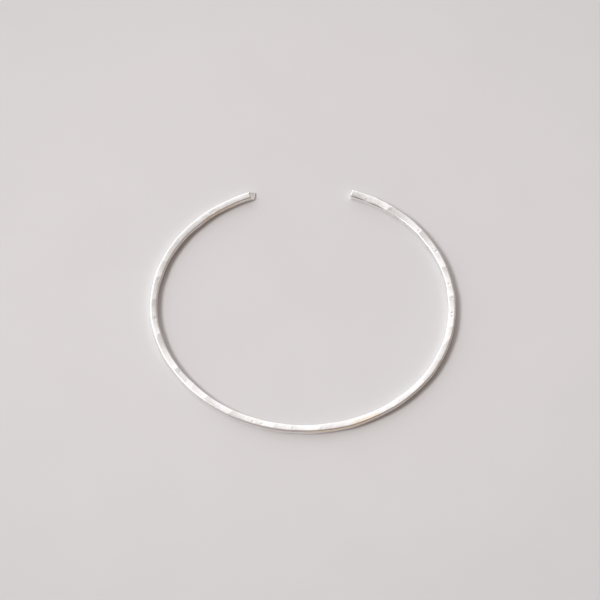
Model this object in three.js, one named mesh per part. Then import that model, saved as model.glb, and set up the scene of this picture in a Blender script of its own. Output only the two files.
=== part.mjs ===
// A cuff bracelet: one length of lightly hammered, nearly square silver wire, bent into an open oval.
// Millimetres, +Z up. It lies on its side, the opening faces +Y, and the origin is the middle of
// its footprint.
import * as THREE from 'three';

// The wire as drawn, before it is hammered. Its faces are slightly crowned, except the underside, and
// its softened corners leave some face between them.
const wireWidth = 1.7;
const wireHeight = 1.7;
const cornerRadius = 0.29;
const mostCornerShare = 0.9;
const crownRadius = 16;

// The oval that it is bent to, measured inside, and how far the hand bend strays from a true oval.
const insideWidth = 59.3;
const insideDepth = 51.9;
const bendDrift = 0.08;
const driftLobes = 3;

// Where the hand bend strays from that besides: the middle of each stray as a share of the way along,
// how far it lies outwards as a share of the wire's width, and its reach as a share of the way.
const bendStrays = [
  { at: 0.332, outwards: -0.14, reach: 0.07 },
  { at: 0.691, outwards: 0.06, reach: 0.07 },
];

// The opening between the two ends, straight across.
const openingWidth = 20;

// The first end is filed down to a low nose, square across its upper edge and slanting at its tip.
// The second end is cut square. The edges of both are a little rounded.
const noseLength = 1.1;
const noseTipHeight = 0.4;
const noseSlant = THREE.MathUtils.degToRad(22);
const endEdgeRadius = 0.16;

// Each blow of the slightly domed hammer leaves a shallow dish. The dishes of the upper face are
// placed one by one: where each lies as a share of the way from the first end to the second, its
// depth as a share of the wire's height, its rise along the wire and its rise outwards across it.
const dishRadius = 100;
const upperDishes = [
  { at: 0.007, depth: 0.030, along: 0.010, across: 0.03 },
  { at: 0.030, depth: 0.034, along: -0.015, across: 0.05 },
  { at: 0.055, depth: 0.046, along: 0.020, across: 0.04 },
  { at: 0.078, depth: 0.034, along: -0.010, across: 0.05 },
  { at: 0.104, depth: 0.038, along: 0.010, across: 0.05 },
  { at: 0.126, depth: 0.030, along: -0.010, across: 0.06 },
  { at: 0.147, depth: 0.036, along: 0.005, across: 0.05 },
  { at: 0.168, depth: 0.034, along: 0.010, across: 0.06 },
  { at: 0.193, depth: 0.040, along: -0.005, across: 0.07 },
  { at: 0.220, depth: 0.038, along: -0.010, across: 0.08 },
  { at: 0.248, depth: 0.036, along: 0.010, across: 0.07 },
  { at: 0.279, depth: 0.044, along: -0.015, across: 0.07 },
  { at: 0.307, depth: 0.034, along: 0.015, across: 0.04 },
  { at: 0.334, depth: 0.040, along: -0.010, across: 0.04 },
  { at: 0.362, depth: 0.030, along: 0.010, across: 0.05 },
  { at: 0.391, depth: 0.036, along: -0.005, across: 0.05 },
  { at: 0.423, depth: 0.046, along: -0.015, across: 0.03 },
  { at: 0.454, depth: 0.034, along: 0.010, across: 0.05 },
  { at: 0.477, depth: 0.030, along: -0.005, across: 0.04 },
  { at: 0.505, depth: 0.038, along: 0.010, across: 0.05 },
  { at: 0.540, depth: 0.048, along: -0.010, across: 0.04 },
  { at: 0.569, depth: 0.040, along: -0.020, across: 0.05 },
  { at: 0.591, depth: 0.034, along: 0.015, across: 0.03 },
  { at: 0.611, depth: 0.030, along: -0.010, across: 0.05 },
  { at: 0.630, depth: 0.032, along: 0.010, across: 0.04 },
  { at: 0.652, depth: 0.036, along: -0.005, across: 0.05 },
  { at: 0.680, depth: 0.042, along: 0.005, across: 0.02 },
  { at: 0.710, depth: 0.038, along: -0.010, across: 0.01 },
  { at: 0.736, depth: 0.034, along: 0.010, across: 0.05 },
  { at: 0.758, depth: 0.030, along: -0.015, across: 0.04 },
  { at: 0.781, depth: 0.036, along: 0.005, across: 0.03 },
  { at: 0.803, depth: 0.030, along: -0.005, across: 0.04 },
  { at: 0.825, depth: 0.036, along: 0.010, across: 0.03 },
  { at: 0.853, depth: 0.044, along: -0.010, across: 0.02 },
  { at: 0.884, depth: 0.040, along: 0.015, across: 0.02 },
  { at: 0.911, depth: 0.036, along: -0.010, across: 0.01 },
  { at: 0.937, depth: 0.040, along: 0.020, across: 0.06 },
  { at: 0.965, depth: 0.038, along: -0.010, across: 0.05 },
  { at: 0.990, depth: 0.034, along: 0.015, across: 0.05 },
];

// The walls are dished all along in the same way, and the underside keeps flat lands between its
// dishes, on which the bracelet rests. Depths are shares of the wire's height, tilts are rises
// along and across the wire, and the strays are shares of a dish's spacing and of its depth.
const wallDishCount = 34;
const wallDishDepth = 0.04;
const wallDishTilt = 0.05;
const lowerDishCount = 28;
const lowerDishDepth = 0.015;
const placeStray = 0.3;
const depthStray = 0.8;

// How finely the curved wire is divided.
const cornerSteps = 2;
const bodySteps = 190;
const noseSteps = 5;
const edgeSteps = 2;

// The oval through the middle of the wire.
const ovalHalfWidth = (insideWidth + wireWidth) / 2;
const ovalHalfDepth = (insideDepth + wireWidth) / 2;
const firstAngle = Math.acos(-openingWidth / 2 / ovalHalfWidth);
const lastAngle = 2 * Math.PI + Math.acos(openingWidth / 2 / ovalHalfWidth);
const wireLength = (lastAngle - firstAngle) * Math.hypot(ovalHalfWidth, ovalHalfDepth) / Math.SQRT2;

// A repeatable number from 0 to 1 that wanders from dish to dish.
function wander(index, offset) {
  const goldenShare = (Math.sqrt(5) - 1) / 2;
  const turned = (index + 1) * (offset + 1) * goldenShare;
  return turned - Math.floor(turned);
}

// Evenly spread dishes that stray a little in place, depth and tilt.
function spreadDishes(count, depth, tilt, offset) {
  return Array.from({ length: count }, (_, index) => ({
    at: (index + 0.5 + placeStray * (wander(index, offset) - 0.5)) / count,
    depth: depth * (1 + depthStray * (wander(index, offset + 1) - 0.5)),
    along: tilt * (wander(index, offset + 2) - 0.5),
    across: tilt * (wander(index, offset + 3) - 0.5),
  }));
}

const outerDishes = spreadDishes(wallDishCount, wallDishDepth, wallDishTilt, 1);
const innerDishes = spreadDishes(wallDishCount, wallDishDepth, wallDishTilt, 4);
const lowerDishes = spreadDishes(lowerDishCount, lowerDishDepth, 0, 2);

// How far the dishes sink a face below the drawn wire, at a share of the way along and a distance
// across from the middle of the face.
function sunk(dishes, share, across) {
  let sink = 0;
  for (const dish of dishes) {
    const along = (share - dish.at) * wireLength;
    const floor = dish.depth * wireHeight - dish.along * along - dish.across * across;
    sink = Math.max(sink, floor - along * along / (2 * dishRadius));
  }
  return sink;
}

// How far a crowned face has fallen away, at a distance across from its middle.
function crowned(across) {
  return across * across / (2 * crownRadius);
}

// How far a rounded edge of a given length has closed in, at a distance from the tip.
function roundedIn(distance, length) {
  if (distance >= length) return 0;
  return 1 - Math.sqrt(1 - ((length - distance) / length) ** 2);
}

// How far along the nose a place is: 1 at its tip and 0 from its upper edge on.
function noseShare(fromTip) {
  return Math.max(0, 1 - fromTip / noseLength);
}

// The four corners of the section, outwards (+1) or inwards (-1) and up (+1) or down (-1), each with
// the crown of the face that follows it. The underside has no crown.
const corners = [
  { side: 1, level: 1, crown: { side: 0, level: 1, dishes: upperDishes } },
  { side: -1, level: 1, crown: { side: -1, level: 0, dishes: innerDishes } },
  { side: -1, level: -1, crown: null },
  { side: 1, level: -1, crown: { side: 1, level: 0, dishes: outerDishes } },
];

// The section at a share of the way along, as points outwards from the wire's middle line and up.
function section(share) {
  const fromNose = share * wireLength;
  const fromCut = (1 - share) * wireLength;
  const edge = endEdgeRadius * roundedIn(Math.min(fromNose, fromCut), endEdgeRadius);
  const drop = (wireHeight - noseTipHeight) * noseShare(fromNose);
  const widest = (wireWidth - 2 * edge) / 2;
  const tallest = (wireHeight - drop - 2 * edge) / 2;
  const radius = Math.min(cornerRadius, mostCornerShare * Math.min(widest, tallest));
  const points = [];
  corners.forEach(({ side, level, crown }, corner) => {
    const flatEdge = side * (wireWidth / 2 - radius);
    const wallEdge = level * (wireHeight / 2 - radius);
    const wall = sunk(side > 0 ? outerDishes : innerDishes, share, wallEdge) + crowned(wallEdge);
    const upper = sunk(upperDishes, share, flatEdge) + crowned(flatEdge);
    const face = level > 0 ? upper : sunk(lowerDishes, share, flatEdge);
    const outwards = side * (widest - radius - wall);
    const up = wireHeight / 2 - drop / 2 + level * (tallest - radius - face);
    for (let step = 0; step <= cornerSteps; step += 1) {
      const turn = (corner + step / cornerSteps) * Math.PI / 2;
      points.push({ outwards: outwards + radius * Math.cos(turn), up: up + radius * Math.sin(turn) });
    }
    if (crown) {
      const sink = sunk(crown.dishes, share, 0);
      points.push({
        outwards: crown.side * (widest - sink),
        up: wireHeight / 2 - drop / 2 + crown.level * (tallest - sink),
      });
    }
  });
  return points;
}

// The middle line's place and outward direction at a share of the way along.
function middleLine(share) {
  const angle = firstAngle + share * (lastAngle - firstAngle);
  const outward = new THREE.Vector3(ovalHalfDepth * Math.cos(angle), ovalHalfWidth * Math.sin(angle), 0);
  outward.normalize();
  const place = new THREE.Vector3(ovalHalfWidth * Math.cos(angle), ovalHalfDepth * Math.sin(angle), 0);
  let stray = -bendDrift * Math.cos(driftLobes * angle);
  for (const { at, outwards, reach } of bendStrays) {
    stray += outwards * wireWidth * Math.exp(-(((share - at) / reach) ** 2));
  }
  place.addScaledVector(outward, stray);
  return { place, outward };
}

// One ring of points round the wire. On the nose the ring leans, so that the tip is cut slanting.
function ring(share) {
  const { place, outward } = middleLine(share);
  const onward = new THREE.Vector3(-outward.y, outward.x, 0);
  const lean = Math.tan(noseSlant) * noseShare(share * wireLength);
  return section(share).map(({ outwards, up }) => place.clone()
    .addScaledVector(outward, outwards)
    .addScaledVector(onward, -lean * outwards)
    .setZ(up));
}

// Shares of the way along at which the rings stand, closer together on the rounded tips.
function ringShares() {
  const nose = noseLength / wireLength;
  const cut = endEdgeRadius / wireLength;
  const quarter = (step, steps) => 1 - Math.cos(step / steps * Math.PI / 2);
  const shares = [];
  for (let step = 0; step < noseSteps; step += 1) shares.push(nose * quarter(step, noseSteps));
  for (let step = 0; step < bodySteps; step += 1) {
    shares.push(nose + (1 - nose - cut) * step / bodySteps);
  }
  for (let step = edgeSteps; step >= 0; step -= 1) shares.push(1 - cut * quarter(step, edgeSteps));
  return shares;
}

// The closed skin over the rings, with a fan of triangles over each end.
function wireGeometry() {
  const rings = ringShares().map(ring);
  const round = rings[0].length;
  const points = rings.flat();
  const index = [];
  for (let row = 0; row < rings.length - 1; row += 1) {
    for (let step = 0; step < round; step += 1) {
      const here = row * round + step;
      const beside = row * round + (step + 1) % round;
      index.push(here, here + round, beside, beside, here + round, beside + round);
    }
  }
  for (const [row, flip] of [[0, false], [rings.length - 1, true]]) {
    const middle = rings[row].reduce((sum, point) => sum.add(point), new THREE.Vector3());
    points.push(middle.divideScalar(round));
    for (let step = 0; step < round; step += 1) {
      const edge = [row * round + step, row * round + (step + 1) % round];
      index.push(points.length - 1, ...(flip ? edge.reverse() : edge));
    }
  }
  const geometry = new THREE.BufferGeometry().setFromPoints(points);
  geometry.setIndex(index);
  geometry.computeVertexNormals();
  geometry.computeBoundingBox();
  return geometry;
}

function cuffWire() {
  const silver = new THREE.MeshStandardMaterial({ color: 0xe6e3df, roughness: 0.18, metalness: 1 });
  const wire = new THREE.Mesh(wireGeometry(), silver);
  const middle = wire.geometry.boundingBox.getCenter(new THREE.Vector3());
  wire.name = 'cuff_wire';
  wire.position.set(-middle.x, -middle.y, 0);
  return wire;
}

const bracelet = new THREE.Group();
bracelet.add(cuffWire());

export default bracelet;
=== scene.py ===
# A cuff bracelet of lightly hammered silver wire, lying on its side on a pale board. Metres, +Z up.
import math
from collections import namedtuple

import bpy
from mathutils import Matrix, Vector, noise


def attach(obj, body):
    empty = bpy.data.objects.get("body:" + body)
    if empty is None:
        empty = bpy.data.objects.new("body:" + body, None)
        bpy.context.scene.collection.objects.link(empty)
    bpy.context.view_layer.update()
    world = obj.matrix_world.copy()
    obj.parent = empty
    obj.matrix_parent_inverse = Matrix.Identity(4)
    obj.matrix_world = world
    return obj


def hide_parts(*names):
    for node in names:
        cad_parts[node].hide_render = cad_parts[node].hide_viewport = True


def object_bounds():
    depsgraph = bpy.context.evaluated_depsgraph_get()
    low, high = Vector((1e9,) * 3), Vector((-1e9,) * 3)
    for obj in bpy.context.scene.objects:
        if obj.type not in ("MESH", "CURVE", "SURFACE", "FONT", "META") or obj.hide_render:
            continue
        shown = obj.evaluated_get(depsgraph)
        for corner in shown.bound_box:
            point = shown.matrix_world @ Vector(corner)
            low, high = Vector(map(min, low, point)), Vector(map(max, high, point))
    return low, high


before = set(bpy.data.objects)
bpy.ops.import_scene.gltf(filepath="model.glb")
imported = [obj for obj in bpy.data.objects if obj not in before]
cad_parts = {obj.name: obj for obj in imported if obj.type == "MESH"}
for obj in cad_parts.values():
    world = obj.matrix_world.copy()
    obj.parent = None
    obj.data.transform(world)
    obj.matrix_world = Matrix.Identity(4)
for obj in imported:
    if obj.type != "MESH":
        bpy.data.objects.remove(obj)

SOLID_LOW, SOLID_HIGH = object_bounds()
MM = 0.001

# The wire as drawn, before it is hammered.
WIRE_WIDTH = 1.7 * MM
WIRE_HEIGHT = 1.7 * MM
CORNER_RADIUS = 0.29 * MM
MOST_CORNER_SHARE = 0.9
CROWN_RADIUS = 16 * MM

# The oval that it is bent to, measured inside, the stray of the hand bend, and the opening.
INSIDE_WIDTH = 59.3 * MM
INSIDE_DEPTH = 51.9 * MM
BEND_DRIFT = 0.08 * MM
DRIFT_LOBES = 3
OPENING_WIDTH = 20 * MM

# Where the hand bend strays besides: share of the way along, how far it lies outwards as a share of the
# wire's width, and its reach as a share of the way.
Stray = namedtuple("Stray", "at outwards reach")
BEND_STRAYS = [
    Stray(0.332, -0.14, 0.07),
    Stray(0.691, 0.06, 0.07),
]

# The ends: a filed nose with a slanting tip on the first and a square cut on the second.
NOSE_LENGTH = 1.1 * MM
NOSE_TIP_HEIGHT = 0.4 * MM
NOSE_SLANT = math.radians(22)
END_EDGE_RADIUS = 0.16 * MM

# The hammer's dishes on the upper face: share of the way along, depth as a share of the wire's
# height, rise along the wire and rise outwards across it.
Dish = namedtuple("Dish", "at depth along across")
DISH_RADIUS = 100 * MM
UPPER_DISHES = [
    Dish(0.007, 0.030, 0.010, 0.03),
    Dish(0.030, 0.034, -0.015, 0.05),
    Dish(0.055, 0.046, 0.020, 0.04),
    Dish(0.078, 0.034, -0.010, 0.05),
    Dish(0.104, 0.038, 0.010, 0.05),
    Dish(0.126, 0.030, -0.010, 0.06),
    Dish(0.147, 0.036, 0.005, 0.05),
    Dish(0.168, 0.034, 0.010, 0.06),
    Dish(0.193, 0.040, -0.005, 0.07),
    Dish(0.220, 0.038, -0.010, 0.08),
    Dish(0.248, 0.036, 0.010, 0.07),
    Dish(0.279, 0.044, -0.015, 0.07),
    Dish(0.307, 0.034, 0.015, 0.04),
    Dish(0.334, 0.040, -0.010, 0.04),
    Dish(0.362, 0.030, 0.010, 0.05),
    Dish(0.391, 0.036, -0.005, 0.05),
    Dish(0.423, 0.046, -0.015, 0.03),
    Dish(0.454, 0.034, 0.010, 0.05),
    Dish(0.477, 0.030, -0.005, 0.04),
    Dish(0.505, 0.038, 0.010, 0.05),
    Dish(0.540, 0.048, -0.010, 0.04),
    Dish(0.569, 0.040, -0.020, 0.05),
    Dish(0.591, 0.034, 0.015, 0.03),
    Dish(0.611, 0.030, -0.010, 0.05),
    Dish(0.630, 0.032, 0.010, 0.04),
    Dish(0.652, 0.036, -0.005, 0.05),
    Dish(0.680, 0.042, 0.005, 0.02),
    Dish(0.710, 0.038, -0.010, 0.01),
    Dish(0.736, 0.034, 0.010, 0.05),
    Dish(0.758, 0.030, -0.015, 0.04),
    Dish(0.781, 0.036, 0.005, 0.03),
    Dish(0.803, 0.030, -0.005, 0.04),
    Dish(0.825, 0.036, 0.010, 0.03),
    Dish(0.853, 0.044, -0.010, 0.02),
    Dish(0.884, 0.040, 0.015, 0.02),
    Dish(0.911, 0.036, -0.010, 0.01),
    Dish(0.937, 0.040, 0.020, 0.06),
    Dish(0.965, 0.038, -0.010, 0.05),
    Dish(0.990, 0.034, 0.015, 0.05),
]

# The other faces' dishes, spread evenly with a little stray in place, depth and tilt.
WALL_DISH_COUNT = 34
WALL_DISH_DEPTH = 0.04
WALL_DISH_TILT = 0.05
LOWER_DISH_COUNT = 28
LOWER_DISH_DEPTH = 0.015
PLACE_STRAY = 0.3
DEPTH_STRAY = 0.8
GOLDEN_SHARE = (math.sqrt(5) - 1) / 2

# The fine unevenness that planishing leaves: the size of its waves and how deep they are.
WAVES = [(1.5 * MM, 0.008 * MM), (0.7 * MM, 0.005 * MM)]

# Small dents in the upper face: share of the way along, place outwards across and length and width
# as shares of the wire's width, and depth as a share of its height.
Dent = namedtuple("Dent", "at across length width depth")
DENTS = [
    Dent(0.058, -0.10, 0.30, 0.14, 0.008),
    Dent(0.117, 0.05, 0.16, 0.14, 0.008),
    Dent(0.182, -0.15, 0.24, 0.10, 0.006),
    Dent(0.240, -0.15, 0.18, 0.14, 0.009),
    Dent(0.312, 0.10, 0.20, 0.16, 0.006),
    Dent(0.326, -0.12, 0.16, 0.14, 0.006),
    Dent(0.341, 0.05, 0.18, 0.12, 0.007),
    Dent(0.440, 0.12, 0.12, 0.12, 0.014),
    Dent(0.451, 0.15, 0.18, 0.12, 0.012),
    Dent(0.488, 0.10, 0.16, 0.18, 0.007),
    Dent(0.522, 0.12, 0.16, 0.20, 0.008),
    Dent(0.763, 0.05, 0.10, 0.10, 0.018),
    Dent(0.768, 0.02, 0.10, 0.10, 0.018),
    Dent(0.790, 0.05, 0.10, 0.14, 0.008),
    Dent(0.811, -0.05, 0.14, 0.11, 0.013),
    Dent(0.862, 0.08, 0.12, 0.14, 0.014),
    Dent(0.867, -0.02, 0.12, 0.12, 0.010),
    Dent(0.872, 0.05, 0.30, 0.14, 0.006),
    Dent(0.899, -0.05, 0.12, 0.18, 0.018),
    Dent(0.945, 0.00, 0.16, 0.16, 0.007),
    Dent(0.979, -0.25, 0.16, 0.10, 0.010),
]

# How far along the wire a dish or a dent can reach.
MARK_REACH = 8 * MM

# Painted reflections in the polish: the warm patches stand for warm surroundings mirrored in the silver,
# and the dark lines for the shaded board and dark room mirrored along its edges. For each: share of the way
# along, place round the wire as a share of its girth from the upper outer corner, half the length and the
# width of each, and what they multiply the colour by. Each is full within the core's share of its reach.
WARM_PAINTED_REFLECTION = (0.985, 0.90, 0.78, 1)
DARK_PAINTED_REFLECTION = (0.45, 0.39, 0.38, 1)
Patch = namedtuple("Patch", "at around length width colour")
PAINTED_REFLECTIONS = [
    Patch(0.576, 0.10, 4.2 * MM, 0.8 * MM, WARM_PAINTED_REFLECTION),
    Patch(0.576, 0.96, 4.2 * MM, 1.0 * MM, WARM_PAINTED_REFLECTION),
    Patch(0.535, 0.00, 7.0 * MM, 0.7 * MM, WARM_PAINTED_REFLECTION),
    Patch(0.535, 0.97, 7.0 * MM, 0.7 * MM, WARM_PAINTED_REFLECTION),
    Patch(0.052, 0.36, 6.0 * MM, 0.9 * MM, WARM_PAINTED_REFLECTION),
    Patch(0.440, 0.005, 15 * MM, 0.24 * MM, DARK_PAINTED_REFLECTION),
    Patch(0.966, 0.32, 2.3 * MM, 0.25 * MM, DARK_PAINTED_REFLECTION),
    Patch(0.991, 0.32, 2.0 * MM, 0.25 * MM, DARK_PAINTED_REFLECTION),
]
PAINTED_REFLECTION_CORE = 0.5

# The polished silver. Its fine scratches run along the wire: noise cells to a mm along and across, how
# deep they look, and the roughness that goes with their low and their high levels. Blooms, in noise
# cells to a metre, change its tone from dull to bright between two levels.
SCRATCH_CELLS = (0.6, 14, 1)
SCRATCH_DETAIL = 5
SCRATCH_ROUGHNESS = 0.65
SCRATCH_STRENGTH = 0.15
SCRATCH_DEPTH = 0.03 * MM
SCRATCH_LOW = 0.35
SCRATCH_HIGH = 0.7
SMOOTHEST = 0.17
ROUGHEST = 0.30
BLOOM_CELLS = 420
BLOOM_DETAIL = 4
BLOOM_ROUGHNESS = 0.6
DULL_SILVER = (0.89, 0.86, 0.835, 1)
DULL_LEVEL = 0.3
BRIGHT_SILVER = (0.96, 0.955, 0.955, 1)
BRIGHT_LEVEL = 0.62

# How finely the skin is divided.
CORNER_STEPS = 6
FACE_STEPS = 10
BODY_STEPS = 1300
NOSE_STEPS = 12
EDGE_STEPS = 5

# The photograph's view: elevation, distance, frame width at that distance, the camera's sensor, the
# point aimed at, and the nearest and the farthest that the camera sees.
VIEW_ELEVATION = math.radians(67)
VIEW_DISTANCE = 0.6
PHOTO_PIXELS = 600
PIXELS_PER_MM = 4.885
VIEW_WIDTH = PHOTO_PIXELS / PIXELS_PER_MM * MM
SENSOR_WIDTH = 36
AIM = Vector((-0.6, 2.2, 0.85)) * MM
NEAREST_SEEN = 0.01
FARTHEST_SEEN = 20

# The room's light: directions point from the bracelet, and colours are strengths too. The dim side
# starts and is full at a cosine of the angle from its direction.
CEILING_COLOUR = (0.645, 0.655, 0.67, 1)
DIM_COLOUR = (0.28, 0.21, 0.165, 1)
DIM_DIRECTION = (0.85, -0.50, -0.15)
DIM_START = -1.0
DIM_FULL = 0.7
GLOW_COLOUR = (0.72, 0.72, 0.725, 1)
GLOW_DIRECTION = (-0.45, 0.80, 0.40)
GLOW_EDGE = math.radians(57)
GLOW_CORE = math.radians(39)
WINDOW_DIRECTION = (-0.59, -0.10, 0.80)
WINDOW_DISTANCE = 1.6
WINDOW_SIZE = 0.53
WINDOW_POWER = 13.3
WINDOW_COLOUR = (1.0, 0.99, 0.98)
BRIGHTEST_GLINT = 1.6

# The board: half its side, how far below the wire its top lies, and its matt, faintly mottled surface.
BOARD_HALF_SIDE = 2.0
BOARD_CLEARANCE = 0.01 * MM
BOARD_ROUGHNESS = 0.8
BOARD_SHINE = 0.2
MOTTLE_CELLS = 60
MOTTLE_DETAIL = 3
DARKER_BOARD = (0.645, 0.633, 0.643, 1)
PALER_BOARD = (0.673, 0.664, 0.673, 1)

# A painted pool of light on the board, palest round the bracelet and darker away from it: the middle and
# the reach of that pool, the share of the reach at which it starts to fade, and what the board's colour is
# multiplied by outside it.
PAINTED_LIGHT_MIDDLE = (0, 15 * MM, 0)
PAINTED_LIGHT_REACH = (130 * MM, 100 * MM, 1)
PAINTED_LIGHT_CORE = 0.4
PAINTED_FALLOFF_COLOUR = (0.925, 0.932, 0.942, 1)

# The sockets of a Mix node of colours: the share of the second, the first, the second and the result.
MIX_SHARE, MIX_FIRST, MIX_SECOND, MIX_RESULT = 0, 6, 7, 2

# The oval through the middle of the wire, and where the wire starts and ends on it.
OVAL_HALF_WIDTH = (INSIDE_WIDTH + WIRE_WIDTH) / 2
OVAL_HALF_DEPTH = (INSIDE_DEPTH + WIRE_WIDTH) / 2
FIRST_ANGLE = math.acos(-OPENING_WIDTH / 2 / OVAL_HALF_WIDTH)
LAST_ANGLE = 2 * math.pi + math.acos(OPENING_WIDTH / 2 / OVAL_HALF_WIDTH)
WIRE_LENGTH = (LAST_ANGLE - FIRST_ANGLE) * math.hypot(OVAL_HALF_WIDTH, OVAL_HALF_DEPTH) / math.sqrt(2)
GIRTH = 2 * (WIRE_WIDTH + WIRE_HEIGHT)


def wander(index, offset):
    """A repeatable number from 0 to 1 that wanders from dish to dish."""
    turned = (index + 1) * (offset + 1) * GOLDEN_SHARE
    return turned - math.floor(turned)


def spread_dishes(count, depth, tilt, offset):
    """Evenly spread dishes that stray a little."""
    return [
        Dish(
            (index + 0.5 + PLACE_STRAY * (wander(index, offset) - 0.5)) / count,
            depth * (1 + DEPTH_STRAY * (wander(index, offset + 1) - 0.5)),
            tilt * (wander(index, offset + 2) - 0.5),
            tilt * (wander(index, offset + 3) - 0.5),
        )
        for index in range(count)
    ]


# Each face's dishes. The last number sets where the strays of a face start to wander.
FACES = {
    "outer": spread_dishes(WALL_DISH_COUNT, WALL_DISH_DEPTH, WALL_DISH_TILT, 1),
    "upper": UPPER_DISHES,
    "inner": spread_dishes(WALL_DISH_COUNT, WALL_DISH_DEPTH, WALL_DISH_TILT, 4),
    "lower": spread_dishes(LOWER_DISH_COUNT, LOWER_DISH_DEPTH, 0, 2),
}

# The section's corners in turn: outwards (+1) or inwards (-1), up (+1) or down (-1), the wall and the
# level face that meet there, and the face that leads on to the next corner.
Corner = namedtuple("Corner", "side level wall face onward")
CORNERS = [
    Corner(1, 1, "outer", "upper", "upper"),
    Corner(-1, 1, "inner", "upper", "inner"),
    Corner(-1, -1, "inner", "lower", "lower"),
    Corner(1, -1, "outer", "lower", "outer"),
]

# A corner's rounded points, with how far across the level face and the wall their edges lie.
Arc = namedtuple("Arc", "points face_edge wall_edge")


def sunk(dishes, share, across):
    """How far the dishes sink a face, at a share of the way along and a distance across it."""
    sink = 0
    for dish in dishes:
        along = (share - dish.at) * WIRE_LENGTH
        floor = dish.depth * WIRE_HEIGHT - dish.along * along - dish.across * across
        sink = max(sink, floor - along * along / (2 * DISH_RADIUS))
    return sink


def crowned(across):
    """How far a crowned face has fallen away, at a distance across from its middle."""
    return across * across / (2 * CROWN_RADIUS)


def near(marks, share):
    """The dishes or dents that can reach a share of the way along."""
    reach = MARK_REACH / WIRE_LENGTH
    return [mark for mark in marks if abs(mark.at - share) < reach]


def rounded_in(distance, length):
    """How far a rounded edge of a given length has closed in, at a distance from the tip."""
    if distance >= length:
        return 0
    return 1 - math.sqrt(1 - ((length - distance) / length) ** 2)


def nose_share(from_tip):
    """How far along the nose a place is: 1 at its tip and 0 from its upper edge on."""
    return max(0, 1 - from_tip / NOSE_LENGTH)


def corner_arcs(share, dishes):
    """The section's four rounded corners as (outwards, up) from the wire's middle line."""
    from_nose = share * WIRE_LENGTH
    from_cut = (1 - share) * WIRE_LENGTH
    edge = END_EDGE_RADIUS * rounded_in(min(from_nose, from_cut), END_EDGE_RADIUS)
    drop = (WIRE_HEIGHT - NOSE_TIP_HEIGHT) * nose_share(from_nose)
    widest = (WIRE_WIDTH - 2 * edge) / 2
    tallest = (WIRE_HEIGHT - drop - 2 * edge) / 2
    radius = min(CORNER_RADIUS, MOST_CORNER_SHARE * min(widest, tallest))
    arcs = []
    for turn, corner in enumerate(CORNERS):
        face_edge = corner.side * (WIRE_WIDTH / 2 - radius)
        wall_edge = corner.level * (WIRE_HEIGHT / 2 - radius)
        wall_sink = sunk(dishes[corner.wall], share, wall_edge) + crowned(wall_edge)
        face_sink = sunk(dishes[corner.face], share, face_edge)
        if corner.level > 0:
            face_sink += crowned(face_edge)
        outwards = corner.side * (widest - radius - wall_sink)
        up = WIRE_HEIGHT / 2 - drop / 2 + corner.level * (tallest - radius - face_sink)
        points = []
        for step in range(CORNER_STEPS + 1):
            angle = (turn + step / CORNER_STEPS) * math.pi / 2
            points.append((outwards + radius * math.cos(angle), up + radius * math.sin(angle)))
        arcs.append(Arc(points, face_edge, wall_edge))
    return arcs


def face_points(corner, arc, next_arc, dishes, share):
    """The dished and crowned points of the face between a corner's arc and the next."""
    level_face = corner.onward in ("upper", "lower")
    start = arc.face_edge if level_face else arc.wall_edge
    end = next_arc.face_edge if level_face else next_arc.wall_edge
    crown = 0 if corner.onward == "lower" else crowned(start)
    sink_start = sunk(dishes, share, start)
    sink_end = sunk(dishes, share, end)
    facing_out = 1 if corner.onward in ("upper", "outer") else -1
    first = arc.points[-1]
    last = next_arc.points[0]
    points = []
    for step in range(1, FACE_STEPS):
        part = step / FACE_STEPS
        extra = sunk(dishes, share, start + part * (end - start))
        extra -= sink_start + part * (sink_end - sink_start)
        extra -= crown * (1 - (1 - 2 * part) ** 2)
        outwards = first[0] + part * (last[0] - first[0])
        up = first[1] + part * (last[1] - first[1])
        if level_face:
            up -= facing_out * extra
        else:
            outwards -= facing_out * extra
        points.append((outwards, up))
    return points


def section(share):
    """The section's points as (outwards, up) from the wire's middle line, corner by corner."""
    dishes = {name: near(face, share) for name, face in FACES.items()}
    arcs = corner_arcs(share, dishes)
    points = []
    for turn, corner in enumerate(CORNERS):
        next_arc = arcs[(turn + 1) % len(CORNERS)]
        points.extend(arcs[turn].points)
        points.extend(face_points(corner, arcs[turn], next_arc, dishes[corner.onward], share))
    return points


def middle_line(share):
    """The middle line's place and outward direction at a share of the way along."""
    angle = FIRST_ANGLE + share * (LAST_ANGLE - FIRST_ANGLE)
    outward = Vector((OVAL_HALF_DEPTH * math.cos(angle), OVAL_HALF_WIDTH * math.sin(angle), 0)).normalized()
    place = Vector((OVAL_HALF_WIDTH * math.cos(angle), OVAL_HALF_DEPTH * math.sin(angle), 0))
    stray = -BEND_DRIFT * math.cos(DRIFT_LOBES * angle)
    for bend in BEND_STRAYS:
        stray += bend.outwards * WIRE_WIDTH * math.exp(-((share - bend.at) / bend.reach) ** 2)
    return place + outward * stray, outward


def waved(point):
    """How far the planished skin waves inwards at a point."""
    return sum(depth * (1 - noise.noise(point / size)) / 2 for size, depth in WAVES)


def dented(dents, share, outwards):
    """How far the small dents sink the upper face at a place."""
    sink = 0
    for dent in dents:
        along = (share - dent.at) * WIRE_LENGTH / (dent.length * WIRE_WIDTH)
        across = (outwards / WIRE_WIDTH - dent.across) / dent.width
        sink += dent.depth * WIRE_HEIGHT * math.exp(-along * along - across * across)
    return sink


def ring(share):
    """One ring of points round the wire, leaning on the nose."""
    place, outward = middle_line(share)
    onward = Vector((-outward.y, outward.x, 0))
    lean = math.tan(NOSE_SLANT) * nose_share(share * WIRE_LENGTH)
    dents = near(DENTS, share)
    points = []
    for outwards, up in section(share):
        if up > WIRE_HEIGHT / 2:
            up -= dented(dents, share, outwards)
        point = place + outward * outwards - onward * lean * outwards
        point.z = up
        away = (outward * outwards + Vector((0, 0, up - WIRE_HEIGHT / 2))).normalized()
        point -= away * waved(point)
        point.z = max(point.z, 0)
        points.append(point)
    return points


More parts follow.
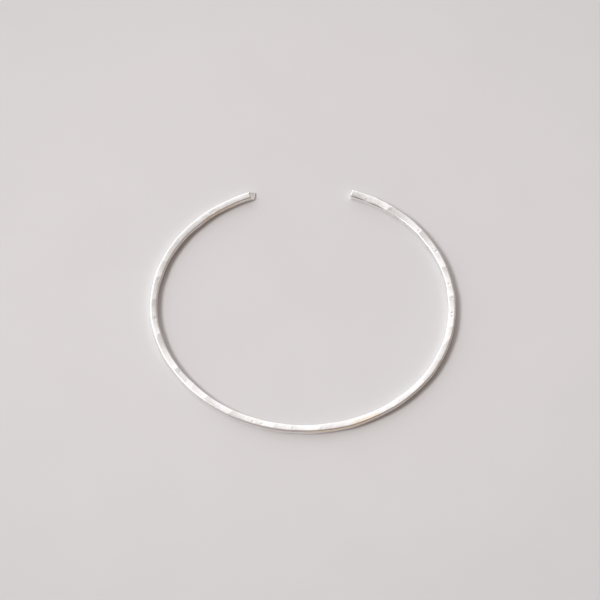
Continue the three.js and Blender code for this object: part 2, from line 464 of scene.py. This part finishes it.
def ring_shares():
    """Shares of the way along at which the rings stand, closer together on the rounded tips."""
    nose = NOSE_LENGTH / WIRE_LENGTH
    cut = END_EDGE_RADIUS / WIRE_LENGTH
    shares = [nose * (1 - math.cos(step / NOSE_STEPS * math.pi / 2)) for step in range(NOSE_STEPS)]
    shares += [nose + (1 - nose - cut) * step / BODY_STEPS for step in range(BODY_STEPS)]
    closing = reversed(range(EDGE_STEPS + 1))
    shares += [1 - cut * (1 - math.cos(step / EDGE_STEPS * math.pi / 2)) for step in closing]
    return shares


def add_object(name, data):
    """A new object in the scene."""
    new_object = bpy.data.objects.new(name, data)
    bpy.context.scene.collection.objects.link(new_object)
    return new_object


def skin_faces(ring_count, around):
    """The skin's quads from ring to ring, and its two end faces."""
    faces = []
    for row in range(ring_count - 1):
        here = row * around
        for step in range(around):
            beside = (step + 1) % around
            faces.append((here + step, here + around + step, here + around + beside, here + beside))
    last = (ring_count - 1) * around
    faces.append(tuple(range(around)))
    faces.append(tuple(reversed(range(last, last + around))))
    return faces


def lay_texture(mesh, shares, around):
    """Texture coordinates in mm: along the wire, and round it from the upper outer corner."""
    layer = mesh.uv_layers.new(name="along_and_around")
    for face in mesh.polygons:
        corners = [(index // around, index % around) for index in face.vertices]
        wraps = max(step for _, step in corners) - min(step for _, step in corners) > around / 2
        for loop, (row, step) in zip(face.loop_indices, corners):
            turned = step + around if wraps and step == 0 else step
            along = shares[row] * WIRE_LENGTH
            layer.data[loop].uv = (along / MM, turned / around * GIRTH / MM)


def cuff_wire():
    """The wire's fine skin, centred on the solid's footprint."""
    shares = ring_shares()
    rings = [ring(share) for share in shares]
    around = len(rings[0])
    points = [point for one in rings for point in one]
    middle = [(min(p[axis] for p in points) + max(p[axis] for p in points)) / 2 for axis in (0, 1)]
    frame_middle = (SOLID_LOW + SOLID_HIGH) / 2
    shift = Vector((frame_middle.x - middle[0], frame_middle.y - middle[1], 0))
    mesh = bpy.data.meshes.new("hammered_wire")
    mesh.from_pydata([point + shift for point in points], [], skin_faces(len(rings), around))
    mesh.polygons.foreach_set("use_smooth", [True] * len(mesh.polygons))
    lay_texture(mesh, shares, around)
    return add_object("hammered_wire", mesh)


def add_node(tree, kind, **settings):
    """A node with its settings, where a name with an underscore in front sets an input."""
    node = tree.nodes.new(kind)
    for name, value in settings.items():
        if name.startswith("_"):
            node.inputs[name[1:].replace("_", " ")].default_value = value
        else:
            setattr(node, name, value)
    return node


def new_material(name):
    """A material with its node tree and its shader."""
    material = bpy.data.materials.new(name)
    material.use_nodes = True
    return material, material.node_tree, material.node_tree.nodes["Principled BSDF"]


def mixed(tree, share, first, second, blend="MIX"):
    """A first colour, plain or from a socket, mixed with a plain second one by a share from a socket."""
    mix = add_node(tree, "ShaderNodeMix", data_type="RGBA", blend_type=blend)
    mix.inputs[MIX_SECOND].default_value = second
    if isinstance(first, tuple):
        mix.inputs[MIX_FIRST].default_value = first
    else:
        tree.links.new(first, mix.inputs[MIX_FIRST])
    tree.links.new(share, mix.inputs[MIX_SHARE])
    return mix.outputs[MIX_RESULT]


def soft_patch():
    """A node group that puts out how much of a soft-edged oval patch there is at a place, from 0 to 1."""
    group = bpy.data.node_groups.new("soft_patch", "ShaderNodeTree")
    for name in ("Place", "Middle", "Reach"):
        group.interface.new_socket(name, in_out="INPUT", socket_type="NodeSocketVector")
    for name in ("None At", "Full At"):
        group.interface.new_socket(name, in_out="INPUT", socket_type="NodeSocketFloat")
    group.interface.new_socket("Share", in_out="OUTPUT", socket_type="NodeSocketFloat")
    given = add_node(group, "NodeGroupInput")
    result = add_node(group, "NodeGroupOutput")
    aside = add_node(group, "ShaderNodeVectorMath", operation="SUBTRACT")
    group.links.new(given.outputs["Place"], aside.inputs[0])
    group.links.new(given.outputs["Middle"], aside.inputs[1])
    in_reaches = add_node(group, "ShaderNodeVectorMath", operation="DIVIDE")
    group.links.new(aside.outputs["Vector"], in_reaches.inputs[0])
    group.links.new(given.outputs["Reach"], in_reaches.inputs[1])
    away = add_node(group, "ShaderNodeVectorMath", operation="LENGTH")
    group.links.new(in_reaches.outputs["Vector"], away.inputs[0])
    soft = add_node(group, "ShaderNodeMapRange", interpolation_type="SMOOTHSTEP")
    group.links.new(away.outputs["Value"], soft.inputs["Value"])
    group.links.new(given.outputs["None At"], soft.inputs["From Min"])
    group.links.new(given.outputs["Full At"], soft.inputs["From Max"])
    group.links.new(soft.outputs["Result"], result.inputs["Share"])
    return group


def placed_patch(tree, group, place, middle, reach, none_at, full_at):
    """One soft patch in a material, around a middle and with its own reach."""
    patch = add_node(tree, "ShaderNodeGroup", node_tree=group)
    for name, value in (("Middle", middle), ("Reach", reach), ("None At", none_at), ("Full At", full_at)):
        patch.inputs[name].default_value = value
    tree.links.new(place, patch.inputs["Place"])
    return patch.outputs["Share"]


def polished_silver(patches):
    """Hand-polished silver: faint lengthwise scratches, soft blooms, and painted reflections as warm
    patches and dark lines along the edges.
    """
    material, tree, shader = new_material("polished_silver")
    shader.inputs["Metallic"].default_value = 1
    place = add_node(tree, "ShaderNodeTexCoord")
    stretch = add_node(tree, "ShaderNodeMapping", _Scale=SCRATCH_CELLS)
    tree.links.new(place.outputs["UV"], stretch.inputs["Vector"])
    scratches = add_node(tree, "ShaderNodeTexNoise", _Scale=1.0, _Detail=SCRATCH_DETAIL,
                         _Roughness=SCRATCH_ROUGHNESS)
    tree.links.new(stretch.outputs["Vector"], scratches.inputs["Vector"])
    bloom = add_node(tree, "ShaderNodeTexNoise", _Scale=BLOOM_CELLS, _Detail=BLOOM_DETAIL,
                     _Roughness=BLOOM_ROUGHNESS)
    tree.links.new(place.outputs["Object"], bloom.inputs["Vector"])
    tint = add_node(tree, "ShaderNodeValToRGB")
    dull, bright = tint.color_ramp.elements
    dull.position = DULL_LEVEL
    dull.color = DULL_SILVER
    bright.position = BRIGHT_LEVEL
    bright.color = BRIGHT_SILVER
    tree.links.new(bloom.outputs["Fac"], tint.inputs["Fac"])
    tone = tint.outputs["Color"]
    # Painted reflections, warm patches and dark edge lines, multiplied into the silver's colour.
    for patch in PAINTED_REFLECTIONS:
        middle = (patch.at * WIRE_LENGTH / MM, patch.around * GIRTH / MM, 0)
        reach = (patch.length / MM, patch.width / MM, 1)
        share = placed_patch(tree, patches, place.outputs["UV"], middle, reach, 1, PAINTED_REFLECTION_CORE)
        tone = mixed(tree, share, tone, patch.colour, "MULTIPLY")
    tree.links.new(tone, shader.inputs["Base Color"])
    gloss = add_node(tree, "ShaderNodeMapRange", _From_Min=SCRATCH_LOW, _From_Max=SCRATCH_HIGH,
                     _To_Min=SMOOTHEST, _To_Max=ROUGHEST)
    tree.links.new(scratches.outputs["Fac"], gloss.inputs["Value"])
    tree.links.new(gloss.outputs["Result"], shader.inputs["Roughness"])
    bump = add_node(tree, "ShaderNodeBump", _Strength=SCRATCH_STRENGTH, _Distance=SCRATCH_DEPTH)
    tree.links.new(scratches.outputs["Fac"], bump.inputs["Height"])
    tree.links.new(bump.outputs["Normal"], shader.inputs["Normal"])
    return material


def pale_board(patches):
    """The plain board's matt surface, with a painted pool of light round the bracelet."""
    material, tree, shader = new_material("pale_board")
    shader.inputs["Roughness"].default_value = BOARD_ROUGHNESS
    shader.inputs["Specular IOR Level"].default_value = BOARD_SHINE
    place = add_node(tree, "ShaderNodeTexCoord")
    mottle = add_node(tree, "ShaderNodeTexNoise", _Scale=MOTTLE_CELLS, _Detail=MOTTLE_DETAIL)
    tree.links.new(place.outputs["Object"], mottle.inputs["Vector"])
    tint = add_node(tree, "ShaderNodeValToRGB")
    darker, paler = tint.color_ramp.elements
    darker.color = DARKER_BOARD
    paler.color = PALER_BOARD
    tree.links.new(mottle.outputs["Fac"], tint.inputs["Fac"])
    # Painted light: the board's colour is darkened away from the bracelet.
    painted_falloff = placed_patch(tree, patches, place.outputs["Object"], PAINTED_LIGHT_MIDDLE, PAINTED_LIGHT_REACH, PAINTED_LIGHT_CORE, 1)
    tone = mixed(tree, painted_falloff, tint.outputs["Color"], PAINTED_FALLOFF_COLOUR, "MULTIPLY")
    tree.links.new(tone, shader.inputs["Base Color"])
    return material


def board(surface):
    """The pale floor, just below the wire."""
    corners = [(-1, -1), (1, -1), (1, 1), (-1, 1)]
    mesh = bpy.data.meshes.new("board")
    mesh.from_pydata([(x * BOARD_HALF_SIDE, y * BOARD_HALF_SIDE, -BOARD_CLEARANCE) for x, y in corners],
                     [], [tuple(range(len(corners)))])
    mesh.materials.append(surface)
    add_object("board", mesh)


def towards(tree, place, direction, none_at, full_at):
    """How far a place in the room lies towards a direction, softly from 0 to 1 between two cosines."""
    cosine = add_node(tree, "ShaderNodeVectorMath", operation="DOT_PRODUCT")
    cosine.inputs[1].default_value = Vector(direction).normalized()
    tree.links.new(place, cosine.inputs[0])
    soft = add_node(tree, "ShaderNodeMapRange", interpolation_type="SMOOTHSTEP",
                    _From_Min=none_at, _From_Max=full_at)
    tree.links.new(cosine.outputs["Value"], soft.inputs["Value"])
    return soft.outputs["Result"]


def room_light():
    """The soft room: a light ceiling, a dim and warm right side, and a broad glow at the back and left."""
    world = bpy.data.worlds.new("room")
    bpy.context.scene.world = world
    world.use_nodes = True
    tree = world.node_tree
    place = add_node(tree, "ShaderNodeTexCoord").outputs["Generated"]
    dim = towards(tree, place, DIM_DIRECTION, DIM_START, DIM_FULL)
    glow = towards(tree, place, GLOW_DIRECTION, math.cos(GLOW_EDGE), math.cos(GLOW_CORE))
    room = mixed(tree, dim, CEILING_COLOUR, DIM_COLOUR)
    room = mixed(tree, glow, room, GLOW_COLOUR, "ADD")
    tree.links.new(room, tree.nodes["Background"].inputs["Color"])


def window_light():
    """The bright window on the left, which casts the soft shadow to the right."""
    light = bpy.data.lights.new("window", "AREA")
    light.shape = "DISK"
    light.size = WINDOW_SIZE
    light.energy = WINDOW_POWER
    light.color = WINDOW_COLOUR
    lamp = add_object("window", light)
    direction = Vector(WINDOW_DIRECTION).normalized()
    lamp.location = direction * WINDOW_DISTANCE
    lamp.rotation_euler = (-direction).to_track_quat("-Z", "Y").to_euler()


def photo_camera():
    """The camera at the photograph's angle."""
    data = bpy.data.cameras.new("camera")
    data.sensor_width = SENSOR_WIDTH
    data.lens = SENSOR_WIDTH * VIEW_DISTANCE / VIEW_WIDTH
    data.clip_start = NEAREST_SEEN
    data.clip_end = FARTHEST_SEEN
    camera = add_object("camera", data)
    back = Vector((0, -math.cos(VIEW_ELEVATION), math.sin(VIEW_ELEVATION)))
    camera.location = AIM + back * VIEW_DISTANCE
    camera.rotation_euler = (-back).to_track_quat("-Z", "Y").to_euler()
    bpy.context.scene.camera = camera


photo_camera()
room_light()
window_light()
patches = soft_patch()
board(pale_board(patches))
wire = cuff_wire()
wire.data.materials.append(polished_silver(patches))
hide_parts("cuff_wire")
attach(wire, "root")
bpy.context.scene.view_settings.view_transform = "Standard"
bpy.context.scene.cycles.sample_clamp_direct = BRIGHTEST_GLINT
